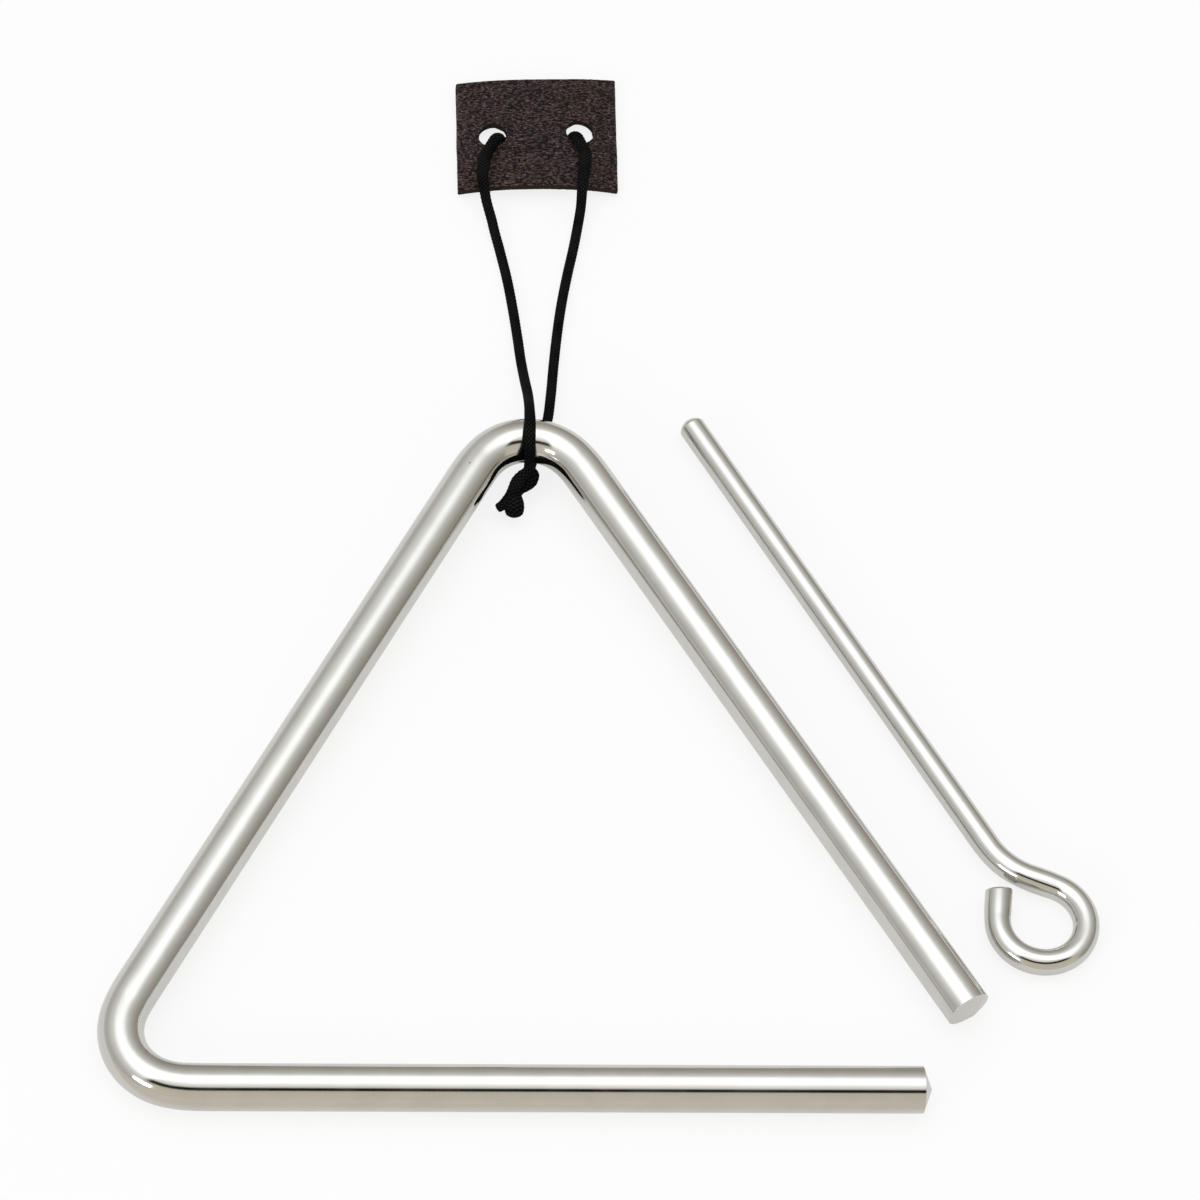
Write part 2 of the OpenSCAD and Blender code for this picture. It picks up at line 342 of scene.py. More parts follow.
class Line:
    """A flat middle line of straight lengths and bends, whose curvature rises and falls gently."""

    FINE = 0.01 * MM
    STRAIGHT_STEP = 2.5 * MM
    # Curvatures, per metre, between which a rod draws out to its thinner size
    BENT_FROM, BENT_FULL = 10, 60

    def __init__(self, ease):
        self.ease = ease
        self.curvature = []

    def run(self, length):
        """A straight length."""
        self.curvature += [0.0] * round(length / self.FINE)

    def bend(self, radius, turn):
        """A bend, to the left where its angle is positive."""
        count = round(abs(turn) * radius / self.FINE)
        self.curvature += [turn / (count * self.FINE)] * count

    def follow(self, start=(0, 0), heading=0.0):
        """The line's points, headings and curvatures, in fine steps."""
        box = np.ones(round(self.ease / 2 / self.FINE))
        curvature = np.array(self.curvature)
        for _ in range(2):
            curvature = np.convolve(curvature, box / box.sum(), "same")
        headings = heading + np.concatenate([[0], np.cumsum(curvature) * self.FINE])
        middle = (headings[:-1] + headings[1:]) / 2
        steps = np.stack([np.cos(middle), np.sin(middle)], 1) * self.FINE
        return np.array(start) + np.concatenate([[[0, 0]], np.cumsum(steps, axis=0)]), headings, curvature

    def stations(self, start, heading, diameter, turn_step):
        """Points with their distance along the line and their radius, which draws out in the bends."""
        points, _, curvature = self.follow(start, heading)
        share = smoothstep(self.BENT_FROM, self.BENT_FULL, np.abs(curvature))
        radii = (diameter - BEND_THINNING * np.append(share, share[-1])) / 2
        pace = np.maximum(np.abs(curvature) / turn_step, 1 / self.STRAIGHT_STEP)
        progress = np.cumsum(pace) * self.FINE
        picked = np.searchsorted(progress, np.arange(math.floor(progress[-1])))
        return [(Vector(points[k]), k * self.FINE, radii[k]) for k in (*picked, len(curvature))]


def eased_reach(radius, turn, ease):
    """How far before its corner an eased bend begins, counted without its easing."""
    line = Line(ease)
    line.run(2 * ease)
    line.bend(radius, turn)
    line.run(2 * ease)
    points, _, _ = line.follow()
    return float(np.linalg.norm(points[-1])) / (2 * math.cos(turn / 2)) - 2 * ease


def with_ends(stations, first_profile, last_profile):
    """Adds turned ends to a line's stations. A profile gives distances before the end, with radii."""
    (first, first_along, _), (last, last_along, _) = stations[0], stations[-1]
    inward = (stations[1][0] - first).normalized()
    outward = (last - stations[-2][0]).normalized()
    head = [(first + inward * d, first_along + d, r) for d, r in first_profile]
    tail = [(last - outward * d, last_along - d, r) for d, r in reversed(last_profile)]
    return head + stations[1:-1] + tail


def cone_profile(radius, height):
    """A cone turned on a rod's end, from its blunted tip to just past its ridge."""
    slope = radius / height
    profile = [(-height + CONE_BLUNT / slope * back, CONE_BLUNT * out) for back, out in CONE_BLUNT_SHARES]
    profile += [(-height * (1 - share), radius * share) for share in CONE_SHARES]
    profile += [(-height * RIDGE_R * share / radius, radius - RIDGE_R * share) for share in RIDGE_SHARES]
    return profile + [(RIDGE_R * past, radius - RIDGE_R * low) for past, low in PAST_RIDGE_SHARES]


def sweep_tree():
    """Geometry nodes that sweep a circle along a curve, as thick as its radius, and close the ends."""
    tree = bpy.data.node_groups.new("rod_sweep", "GeometryNodeTree")
    for label, kind in (("Line", "NodeSocketGeometry"), ("Sides", "NodeSocketInt"),
                        ("Closing Distance", "NodeSocketFloat"), ("Finish", "NodeSocketMaterial")):
        tree.interface.new_socket(label, in_out="INPUT", socket_type=kind)
    tree.interface.new_socket("Rod", in_out="OUTPUT", socket_type="NodeSocketGeometry")
    given, result = tree.nodes.new("NodeGroupInput"), tree.nodes.new("NodeGroupOutput")
    length = add_node(tree, "GeometryNodeSplineParameter").outputs["Length"]
    thickness = add_node(tree, "GeometryNodeInputRadius").outputs[0]
    along = add_node(tree, "GeometryNodeCaptureAttribute")
    along.capture_items.new("FLOAT", "Along")
    along.capture_items.new("FLOAT", "Thickness")
    link_chain(tree, given.outputs["Line"], along.inputs["Geometry"], length, along.inputs["Along"],
               thickness, along.inputs["Thickness"])
    circle = add_node(tree, "GeometryNodeCurvePrimitiveCircle",
                      {"Resolution": given.outputs["Sides"], "Radius": 1.0})
    place = add_node(tree, "GeometryNodeInputPosition").outputs[0]
    around = add_node(tree, "GeometryNodeCaptureAttribute")
    around.capture_items.new("VECTOR", "Around")
    link_chain(tree, circle.outputs[0], around.inputs["Geometry"], place, around.inputs["Around"])
    swept = add_node(tree, "GeometryNodeCurveToMesh",
                     {"Curve": along.outputs["Geometry"], "Profile Curve": around.outputs["Geometry"],
                      "Scale": along.outputs["Thickness"], "Fill Caps": False})
    closed = add_node(tree, "GeometryNodeMergeByDistance",
                      {"Geometry": swept.outputs[0], "Distance": given.outputs["Closing Distance"]})
    parts = add_node(tree, "ShaderNodeSeparateXYZ", {0: around.outputs["Around"]})
    across = [product(tree, parts.outputs[k], along.outputs["Thickness"]) for k in (0, 1)]
    straight = add_node(tree, "ShaderNodeCombineXYZ",
                        {0: along.outputs["Along"], 1: across[0], 2: across[1]})
    stored = add_node(tree, "GeometryNodeStoreNamedAttribute",
                      {"Geometry": closed.outputs[0], "Name": "straightened"}, data_type="FLOAT_VECTOR")
    tree.links.new(straight.outputs[0], stored.inputs["Value"])
    smooth = add_node(tree, "GeometryNodeSetShadeSmooth", {"Geometry": stored.outputs[0]})
    real = add_node(tree, "GeometryNodeRealizeInstances", {"Geometry": smooth.outputs[0]})
    finish = add_node(tree, "GeometryNodeSetMaterial",
                      {"Geometry": real.outputs[0], "Material": given.outputs["Finish"]})
    tree.links.new(finish.outputs[0], result.inputs[0])
    return tree


def sweep_rod(name, tree, stations, place, sides, material):
    """A rod swept along its stations. place turns a flat point into a point of the row frame."""
    data = bpy.data.curves.new(name + "_line", "CURVE")
    data.dimensions = "3D"
    spline = data.splines.new("POLY")
    spline.points.add(len(stations) - 1)
    for point, (at, _, radius) in zip(spline.points, stations):
        point.co = (*place(at), 1)
        point.radius = radius
    carrier = put(name + "_line", data)
    modifier = carrier.modifiers.new("sweep", "NODES")
    modifier.node_group = tree
    names = {item.name: item.identifier for item in tree.interface.items_tree if item.in_out == "INPUT"}
    for label, value in (("Sides", sides), ("Closing Distance", CLOSING), ("Finish", material)):
        modifier[names[label]] = value
    shown = carrier.evaluated_get(bpy.context.evaluated_depsgraph_get())
    mesh = bpy.data.meshes.new_from_object(shown)
    mesh.name = name
    bpy.data.objects.remove(carrier)
    bpy.data.curves.remove(data)
    return put(name, mesh)


def triangle_rod(tree, material):
    """The bent bar, from the base leg's free end round to the other free end."""
    reach = eased_reach(BEND_R, CORNER_TURN, BEND_EASE)
    base = SIDE - END_GAP - END_CONE_H
    rise = SIDE * math.sin(CORNER_TURN / 2) - CORNER_R
    tilt = math.asin(APEX_LIFT / rise)
    corner = Vector((APEX.x - SIDE / 2, APEX.y - rise * math.cos(tilt)))
    line = Line(BEND_EASE)
    line.run(base - reach)
    line.bend(BEND_R, -CORNER_TURN)
    line.run(SIDE - 2 * reach)
    line.bend(BEND_R, -CORNER_TURN)
    line.run(base - reach)
    cone = cone_profile(ROD_D / 2, END_CONE_H)
    stations = with_ends(line.stations((base, 0), math.pi, ROD_D, ROD_TURN_STEP), cone, cone)

    def place(at):
        return (corner.x + at.x, corner.y + at.y * math.cos(tilt), ROD_D / 2 + at.y * math.sin(tilt))

    piece = sweep_rod("bent_rod", tree, stations, place, ROD_SIDES, material)
    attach(piece, "triangle")
    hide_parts("triangle_rod")


def dome_profile(radius, height):
    """A low dome ground on a rod's end, down to just past its edge."""
    sphere = (radius ** 2 + height ** 2) / (2 * height)
    profile = []
    for k in range(DOME_STEPS + 1):
        r = radius * math.sin(math.pi / 2 * k / DOME_STEPS) * DOME_SHARE
        profile.append((sphere - math.sqrt(sphere ** 2 - r ** 2), r))
    return profile + [(height + DOME_EDGE_R * past, radius - DOME_EDGE_R * low)
                      for past, low in DOME_EDGE_SHARES]


def cut_profile(radius, edge):
    """A rod's end cut square, with its edge rounded."""
    profile = [(0.0, 0.0)] + [(0.0, radius - edge * share) for share in CUT_FLAT_SHARES]
    for k in range(1, CUT_EDGE_STEPS + 1):
        a = math.pi / 2 * k / CUT_EDGE_STEPS
        profile.append((edge * (1 - math.cos(a)), radius - edge * (1 - math.sin(a))))
    profile.append((edge * PAST_CUT_SHARE, radius))
    return profile


def beater(tree, material):
    """The beater, from its domed tip down the shank and round the eye."""
    start = APEX.xy + BEATER_PLACE
    line = Line(EYE_EASE)
    line.run(SHANK)
    line.bend(NECK_R, NECK_TURN)
    line.run(LINK)
    line.bend(EYE_R, -EYE_TURN)
    line.run(HOOK)
    stations = with_ends(line.stations(start, BEATER_HEADING, BEATER_D, BEATER_TURN_STEP),
                         dome_profile(BEATER_D / 2, TIP_DOME_H), cut_profile(BEATER_D / 2, CUT_EDGE_R))
    piece = sweep_rod("ring_handled_beater", tree, stations, lambda at: (at.x, at.y, BEATER_D / 2),
                      BEATER_SIDES, material)
    points, headings, _ = line.follow(start, BEATER_HEADING)
    shear_hook(piece, Vector(points[-1]), stations[-1][1], headings[-1])
    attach(piece, "beater")
    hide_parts("beater")


def shear_hook(piece, end, length, heading):
    """Leans the hook's sheared end back, so that it is shorter on top and on its inner side."""
    mesh = piece.data
    place = np.empty(len(mesh.vertices) * 3, np.float32)
    mesh.vertices.foreach_get("co", place)
    along = np.empty(len(mesh.vertices) * 3, np.float32)
    mesh.attributes["straightened"].data.foreach_get("vector", along)
    place, along = place.reshape(-1, 3), along.reshape(-1, 3)[:, 0]
    share = smoothstep(length - SHEARED_L, length, along)
    aside = (place[:, 1] - end.y) * math.cos(heading) - (place[:, 0] - end.x) * math.sin(heading)
    back = share * ((place[:, 2] - BEATER_D / 2) * SHEAR_SLOPE + aside * SHEAR_SKEW)
    place[:, 0] -= back * math.cos(heading)
    place[:, 1] -= back * math.sin(heading)
    mesh.vertices.foreach_set("co", place.ravel())
    mesh.update()


# Cord and knot: tubes with the relief of a round braid

BRAID_STRANDS = 8
BRAID_RELIEF = 0.11 * MM
# How high a strand stands where it dives under and on its crown between
STRAND_LOW, STRAND_RISE = 0.45, 0.55
# A tube's ends close in over a length to a share of its size, under a low point
CLOSING_L, CLOSED_SHARE, CLOSING_SHARE, POINT_H = 0.3 * MM, 0.8, 0.2, 0.12 * MM
SPAN_STEPS = 40
SIDEWAYS = (0.3, 0.2, 1.0)


def smooth_line(points):
    """A smooth line, in even steps, through points given in millimetres from the table under the apex."""
    p = np.array(points, float) * MM
    p[:, :3] += np.array(APEX)
    p = np.vstack([2 * p[0] - p[1], p, 2 * p[-1] - p[-2]])
    fine = []
    for k in range(1, len(p) - 2):
        a, b, c, d = p[k - 1:k + 3]
        u, v, w = (math.sqrt(np.linalg.norm(q - r)) for q, r in ((b, a), (c, b), (d, c)))
        m1 = v * ((b - a) / u - (c - a) / (u + v) + (c - b) / v)
        m2 = v * ((c - b) / v - (d - b) / (v + w) + (d - c) / w)
        t = np.linspace(0, 1, SPAN_STEPS, endpoint=False)[:, None]
        fine.append((2 * t ** 3 - 3 * t ** 2 + 1) * b + (t ** 3 - 2 * t ** 2 + t) * m1
                    + (-2 * t ** 3 + 3 * t ** 2) * c + (t ** 3 - t ** 2) * m2)
    fine = np.vstack(fine + [p[-2][None]])
    far = np.concatenate([[0], np.cumsum(np.linalg.norm(np.diff(fine, axis=0), axis=1))])
    even = np.linspace(0, far[-1], max(2, round(far[-1] / CORD_STEP)) + 1)
    return np.stack([np.interp(even, far, fine[:, k]) for k in range(p.shape[1])], 1), even


def carried_frames(points):
    """Tangents and two cross directions that turn as little as they can along the line."""
    tangents = np.gradient(points, axis=0)
    tangents /= np.linalg.norm(tangents, axis=1)[:, None]
    normal = np.cross(tangents[0], SIDEWAYS)
    first, second = [], []
    for t in tangents:
        normal = normal - (normal @ t) * t
        normal /= np.linalg.norm(normal)
        first.append(normal)
        second.append(np.cross(t, normal))
    return tangents, np.array(first), np.array(second)


def braid_height(along, around, radius):
    """Height of a plain round braid, from 0 in its gaps to 1 on its strands."""
    lay = 2 * math.pi * radius / BRAID_STRANDS
    turns = BRAID_STRANDS * around / (2 * math.pi)
    p, q = turns + along / lay, turns - along / lay
    on_top = (np.floor(p) + np.floor(q)) % 2 < 1
    fp, fq = p - np.floor(p), q - np.floor(q)
    across = np.where(on_top, fp, fq)
    length = np.where(on_top, fq, fp)
    round_back = np.sqrt(np.clip(1 - (2 * across - 1) ** 2, 0, 1))
    return round_back * (STRAND_LOW + STRAND_RISE * np.sin(math.pi * length))


def braided_tube(name, points, even, radius, material, press=()):
    """A braided cord along a line. Its radius may differ from ring to ring, and press widens its rings."""
    tangents, first, second = carried_frames(points)
    s, a = np.meshgrid(even, np.arange(CORD_SIDES) * 2 * math.pi / CORD_SIDES, indexing="ij")
    height = braid_height(s, a, CORD_D / 2)
    closing = smoothstep(0, CLOSING_L, s) * smoothstep(0, CLOSING_L, even[-1] - s)
    rings = np.broadcast_to(radius, len(points))[:, None]
    r = (rings - BRAID_RELIEF * (1 - height)) * (CLOSED_SHARE + CLOSING_SHARE * closing)
    out = np.cos(a)[..., None] * first[:, None] + np.sin(a)[..., None] * second[:, None]
    ring = points[:, None] + r[..., None] * out
    for direction, share in press:
        lean = (ring - points[:, None]) @ direction
        ring = ring + (lean * share[:, None])[..., None] * direction
    verts = np.vstack([ring.reshape(-1, 3), points[0] - tangents[0] * POINT_H,
                       points[-1] + tangents[-1] * POINT_H])
    net = np.arange(a.size).reshape(a.shape)
    near, far = net[:-1], net[1:]
    faces = np.stack([near, np.roll(near, -1, 1), np.roll(far, -1, 1), far], -1).reshape(-1, 4).tolist()
    sides, low = CORD_SIDES, a.size - CORD_SIDES
    faces += [(a.size, (k + 1) % sides, k) for k in range(sides)]
    faces += [(a.size + 1, low + k, low + (k + 1) % sides) for k in range(sides)]
    piece = make_mesh(name, verts, faces, material)
    line = np.append(s.ravel(), (0, even[-1]))
    turn = np.append(a.ravel(), (0, 0))
    point_attribute(piece, "braid_place", "FLOAT_VECTOR",
                    np.stack([line, CORD_D / 2 * np.cos(turn), CORD_D / 2 * np.sin(turn)], 1))
    point_attribute(piece, "braid_height", "FLOAT", np.append(height.ravel(), (0.5, 0.5)))
    return piece


def eased(values, reach, share):
    """Values along a line averaged with their neighbours, as far as reach, by a share at each of them."""
    soft = np.pad(values, reach, mode="edge")
    for _ in range(2):
        soft = np.convolve(soft, np.ones(reach) / reach, "same")
    return values + (soft[reach:-reach] - values) * share


def lay_on_tab(points):
    """Draws the cord sideways where it is pulled, and down on to the leather."""
    made = points.copy()
    for x, y, aside, down in CORD_PULLS:
        far = np.linalg.norm(points[:, :2] - np.array(APEX.xy) - np.array((x, y)) * MM, axis=1)
        made[:, :2] += smoothstep(PULL_END, PULL_FULL, far)[:, None] * np.array((aside, down)) * MM
    x, y = (made[:, :2] - np.array(APEX.xy + TAB_PLACE)).T
    rest = CORD_D / 2
    on_tab = tab_height(x, np.maximum(y, -TAB_H / 2)) + TAB_T + rest
    climb = smoothstep(0, 1, (points[:, 2] - rest) / ROUTE_CLIMB)
    height = np.where(y > -TAB_H, rest + (on_tab - rest) * climb, points[:, 2])
    made[:, 2] = eased(height, EVENED_STEPS, smoothstep(EVENED_TOP, EVENED_FULL, y) * (y > EVENED_END))
    return made


def holder_cord(material):
    """The holder's loop of cord, from the knot over the rod, through the tab and back under the rod."""
    points, even = smooth_line(CORD_ROUTE)
    points = lay_on_tab(points)
    up = points[:, 1] - APEX.y
    over_rod = np.exp(-((up - ROD_BEAR_UP) / ROD_BEAR_L) ** 2) * (points[:, 2] > ROD_BEAR_Z)
    on_leather = smoothstep(*LEATHER_UP, up) * smoothstep(*LEATHER_Z, points[:, 2])
    spread = ROD_SPREAD * over_rod + LEATHER_SPREAD * on_leather
    press = [(np.array((1.0, 0, 0)), spread), (np.array((0, 0, 1.0)), -PRESSED_SHARE * spread)]
    piece = braided_tube("holder_cord", points, even, CORD_D / 2, material, press=press)
    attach(piece, "holder_cord")
    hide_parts("hanging_cord")
    return piece, points


def knot(material):
    """The knot that ties the cord's ends, with its two tails, as one piece."""
    made = []
    for name, route in (("front", FRONT_END), ("back", BACK_END)):
        points, even = smooth_line(route)
        made.append(braided_tube("knot_" + name, points[:, :3], even, points[:, 3], material))
    piece = join("cord_knot", made)
    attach(piece, "holder_cord")
    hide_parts("cord_knot")
    return piece


def join(name, pieces):
    """Several meshes made one, with their attributes."""
    with bpy.context.temp_override(active_object=pieces[0], selected_editable_objects=pieces):
        bpy.ops.object.join()
    pieces[0].name = name + "_piece"
    pieces[0].data.name = name
    return pieces[0]


# Leather tab

def chance(x, y, z):
    """A smooth random value at a place, between about -1 and 1."""
    return noise.noise(Vector((x, y, z)))


def tab_height(x, y):
    """Height of the tab's underside, which bows over the cord, at a place counted from its middle."""
    u = np.asarray(x) / (TAB_W / 2)
    v = np.asarray(y) / TAB_H + 0.5
    bow = (TAB_BOW[0] + TAB_BOW[1] * v - TAB_BOW[2] * v * v) * MM
    held_up = TAB_HELD_UP * (1 - v) ** 2
    return TAB_REST + held_up + bow * np.clip(1 - np.abs(u) ** TAB_BOW_POWER, -TAB_DROOP_SHARE, 1)


def hole_places():
    """Middles of the left and the right hole, from the middle of the tab."""
    middle = Vector((HOLE_MIDDLE_SHARES[0] * TAB_W, HOLE_MIDDLE_SHARES[1] * TAB_H))
    across = Vector((math.cos(HOLE_TURN), math.sin(HOLE_TURN))) * HOLE_PITCH / 2
    return middle - across, middle + across


def edge_walk(corners):
    """Points along a hand-cut outline, whose corners are a little blunt."""
    made = []
    for k, a in enumerate(corners):
        way = corners[(k + 1) % len(corners)] - a
        count = max(2, round(way.length / NET_STEP))
        side = Vector((-way.y, way.x)).normalized()
        for i in range(count + 1):
            d = CORNER_BLUNT + (way.length - 2 * CORNER_BLUNT) * i / count
            ease = math.sin(math.pi * i / count)
            place = a.x * EDGE_SCALES[0] + d * EDGE_SCALES[1]
            sway = chance(place, k * EDGE_ROW, 2) * EDGE_WAVE * ease
            made.append(a + way.normalized() * d + side * sway)
    return made


def hole_walk(middle):
    """Points round a punched hole, a little out of round."""
    made = []
    for k in range(HOLE_POINTS):
        t = 2 * math.pi * k / HOLE_POINTS
        swell = 1 + HOLE_SWELL * math.sin(3 * t + middle.x * HOLE_SCALE)
        made.append(middle + Vector((math.cos(t), math.sin(t))) * (HOLE_D / 2) * swell)
    return made


def directions(loop):
    """Unit directions to the left of a closed outline at each of its points."""
    made = []
    for k in range(len(loop)):
        way = (loop[(k + 1) % len(loop)] - loop[k - 1]).normalized()
        made.append(Vector((-way.y, way.x)))
    return made


def inset(loop, distance):
    """A closed outline moved inward, to the left of its direction."""
    return [p + d * distance for p, d in zip(loop, directions(loop))]


def grain_height(x, y):
    """Height of the leather's pebbled grain at a point of the tab, from 0 in its creases to 1."""
    sway = Vector([chance(x * SWAY_SCALE, y * SWAY_SCALE, z) for z in (5, 9)] + [0])
    at = Vector((x * PEBBLE_SCALES[0], y * PEBBLE_SCALES[1], 0)) + sway * PEBBLE_SWAY
    far, _ = noise.voronoi(at)
    pebble = float(smoothstep(0, PEBBLE_SLOPE, far[1] - far[0]))
    swell = 0.5 + 0.5 * chance(x * SWELL_SCALES[0], y * SWELL_SCALES[1], 3)
    return pebble * (PEBBLE_LOW + PEBBLE_RISE * float(smoothstep(*SWELL_RANGE, swell)))


def leather_tab(material):
    """The hand-cut tab with its two punched holes: grain side, cut edges and flesh side."""
    corners = [Vector((sx * TAB_W, sy * TAB_H)) for sx, sy in TAB_CORNER_SHARES]
    walks = [edge_walk(corners)] + [hole_walk(hole)[::-1] for hole in hole_places()]
    loops = [inset(walk, EDGE_R) for walk in walks]
    flat, edges = [], []
    for loop in loops:
        first = len(flat)
        flat += loop
        edges += [(first + k, first + (k + 1) % len(loop)) for k in range(len(loop))]
    rng = np.random.default_rng(NET_SEED)
    sway = NET_SWAY_SHARE
    margin = EDGE_R + NET_STEP * NET_KEEP_OFF_SHARE
    for i in range(int(TAB_H * NET_REACH_SHARE / (NET_STEP * NET_ROW_SHARE))):
        y = -TAB_H * NET_REACH_SHARE / 2 + i * NET_STEP * NET_ROW_SHARE
        for k in range(int(TAB_W * NET_REACH_SHARE / NET_STEP)):
            x = -TAB_W * NET_REACH_SHARE / 2 + (k + 0.5 * (i % 2)) * NET_STEP
            x2, y2 = x + rng.uniform(-sway, sway) * NET_STEP, y + rng.uniform(-sway, sway) * NET_STEP
            if inside_tab(x2, y2, corners, margin):
                flat.append(Vector((x2, y2)))
    flat, _, tris, kept, _, _ = delaunay_2d_cdt(flat, edges, [list(range(len(loops[0])))], 1, 1e-9)
    origin = {ids[0]: k for k, ids in enumerate(kept) if ids}
    tris = [t for t in tris if all((sum((flat[v] for v in t), Vector((0, 0))) / 3 - hole).length
                                   > HOLE_D / 2 for hole in hole_places())]
    build_tab(flat, tris, loops, origin, material)


def inside_tab(x, y, corners, margin):
    """Whether a point lies on the tab, clear of its edges and holes by a margin."""
    for k, a in enumerate(corners):
        way = (corners[(k + 1) % len(corners)] - a).normalized()
        if (x - a.x) * -way.y + (y - a.y) * way.x < margin:
            return False
    return all((Vector((x, y)) - hole).length > HOLE_D / 2 + margin for hole in hole_places())


def edge_levels():
    """How far out and how high the tab's cut edge lies, from its grain side down to its flesh side."""
    levels = []
    for share in EDGE_ROUND_SHARES:
        a = math.pi / 2 * share
        levels.append((EDGE_R * math.sin(a), TAB_T - EDGE_R * (1 - math.cos(a))))
    levels += [(EDGE_R, TAB_T * share) for share in EDGE_WALL_SHARES]
    return levels + [(EDGE_R, EDGE_SOFT), (EDGE_R - EDGE_SOFT * EDGE_LAST_SHARE, EDGE_LAST)]


def wall(above, below):
    """Faces between two closed rings of points."""
    return list(zip(above, below, below[1:] + below[:1], above[1:] + above[:1]))


def build_tab(flat, tris, loops, origin, material):
    """Two skins of one triangulation, joined by walls with rounded edges at the outline and the holes."""
    count = len(flat)
    x = np.array([p.x for p in flat])
    y = np.array([p.y for p in flat])
    under = tab_height(x, y)
    grain = np.array([grain_height(a, b) for a, b in zip(x, y)])
    top = under + TAB_T + (grain - 1) * GRAIN_DEPTH
    flesh = np.array([chance(a * FLESH_SCALE, b * FLESH_SCALE, 1) for a, b in zip(x, y)])
    low = under + FLESH_DEPTH * flesh
    verts = [*zip(x, y, top), *zip(x, y, low)]
    kinds = [0.0] * count + [FLESH_SIDE] * count
    grains = list(grain) + [FLESH_GRAIN] * count
    faces = [tuple(t) for t in tris] + [tuple(count + v for v in reversed(t)) for t in tris]
    start = 0
    for loop in loops:
        ring = [origin[start + k] for k in range(len(loop))]
        out = [-d for d in directions([flat[v] for v in ring])]
        above = ring
        for depth, (outward, level) in enumerate(edge_levels()):
            below = []
            for v, d in zip(ring, out):
                px, py = flat[v]
                fray = chance(px * FRAY_SCALES[0], py * FRAY_SCALES[0], level * FRAY_SCALES[1]) * EDGE_FRAY
                px, py = px + d.x * (outward + fray), py + d.y * (outward + fray)
                below.append(len(verts))
                verts.append((px, py, float(tab_height(px, py)) + level))
                kinds.append(min(1.0, EDGE_RISE * (depth + 1)))
                grains.append(EDGE_GRAIN)
            faces += wall(above, below)
            above = below
        faces += wall(above, [count + v for v in ring])
        start += len(loop)
    centre = APEX + Vector((*TAB_PLACE, 0))
    verts = [(px + centre.x, py + centre.y, pz) for px, py, pz in verts]
    piece = make_mesh("leather_holder", verts, faces, material)
    point_attribute(piece, "tab_face", "FLOAT", kinds)
    point_attribute(piece, "grain_height", "FLOAT", grains)
    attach(piece, "leather")
    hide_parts("leather_tab")


# Finishes: tones, scales of their patterns per metre, and the depth of their fine relief

ROD_TONES = (0.60, 0.59, 0.555), (0.57, 0.56, 0.525)
BEATER_TONES = (0.60, 0.592, 0.56), (0.57, 0.562, 0.53)
SPECK_TONE = (0.16, 0.12, 0.09)
LINE_SCALE, BEATER_LINE_SCALE, RIPPLE_SCALE, CLOUD_SCALE, SPECK_SCALE = 2500.0, 3600.0, 260.0, 190.0, 420.0
SPECK_SHARE, BEATER_SPECK_SHARE = 0.02, 0.01
LINE_HEIGHT, RIPPLE_HEIGHT, SPECK_DEPTH, RING_HEIGHT = 0.5, 1.4, 1.5, 0.9
PLATING_ROUGHNESS, SPECK_ROUGHNESS, TURNED_ROUGHNESS = (0.07, 0.14), 0.3, 0.2
TURNED_SHARES = (0.965, 0.93)
TURNING_PITCH = 0.16 * MM
PLATING_RELIEF = 0.0012 * MM
LEATHER_TONES = (0.116, 0.071, 0.078), (0.122, 0.082, 0.064)
# A near-black tone painted into the grain's creases and between its wrinkles as their shade
PAINTED_CREASE_SHADE = (0.0045, 0.0024, 0.0024)
EDGE_TONES = (0.010, 0.006, 0.005), (0.034, 0.023, 0.018)
FLESH_TONES = (0.045, 0.031, 0.024), (0.120, 0.086, 0.064)
WRINKLE_SCALE, PORE_SCALE, STAIN_SCALE, FIBRE_SCALE = 3100.0, 3600.0, 150.0, 4200.0
LEATHER_RELIEF = 0.06 * MM
# Painted shade of the braid's gaps and the lighter tone of its strands' backs, set by the braid's height
BRAID_SHADED_AND_LIT_TONES = (0.0002, 0.0002, 0.0003), (0.0150, 0.0155, 0.0150)
WORN_TONE = (0.0006, 0.0008, 0.0010)
FILAMENT_SCALE, WORN_SCALE = 9000.0, 240.0
BRAID_FINE_RELIEF = 0.04 * MM


def plating_marks_group():
    """Marks of a plated drawn rod: fine lines along it, soft ripples, and a few pin specks."""
    group, given, result = new_group(
        "plating_marks", {"Place": (0, 0, 0), "Line Pitch": LINE_SCALE, "Speck Share": SPECK_SHARE},
        ("Height", "Roughness", "Speck", "Cloud"))
    place = given.outputs["Place"]
    drawn = stretched(group, place, 0.018, 1.0, 1.0)
    lines = noise_value(group, drawn, given.outputs["Line Pitch"], 3.0, 0.6)
    ripple = noise_value(group, stretched(group, place, 0.3, 1.0, 1.0), RIPPLE_SCALE, 1.0)
    cloud = noise_value(group, place, CLOUD_SCALE, 3.0)
    cells = add_node(group, "ShaderNodeTexVoronoi", {"Vector": place, "Scale": SPECK_SCALE})
    draw = add_node(group, "ShaderNodeTexWhiteNoise", {"Vector": cells.outputs["Position"]})
    chosen = math_node(group, "LESS_THAN", draw.outputs[0], given.outputs["Speck Share"])
    speck = product(group, map_range(group, cells.outputs["Distance"], 0.10, 0.03), chosen)
    height = total(group, product(group, lines, LINE_HEIGHT), product(group, ripple, RIPPLE_HEIGHT))
    height = math_node(group, "SUBTRACT", height, product(group, speck, SPECK_DEPTH))
    share = total(group, product(group, cloud, 0.6), product(group, lines, 0.4))
    rough = map_range(group, share, 0.3, 0.7, *PLATING_ROUGHNESS)
    rough = total(group, rough, product(group, speck, SPECK_ROUGHNESS))
    link_chain(group, height, result.inputs["Height"], rough, result.inputs["Roughness"],
               speck, result.inputs["Speck"], cloud, result.inputs["Cloud"])
    return group


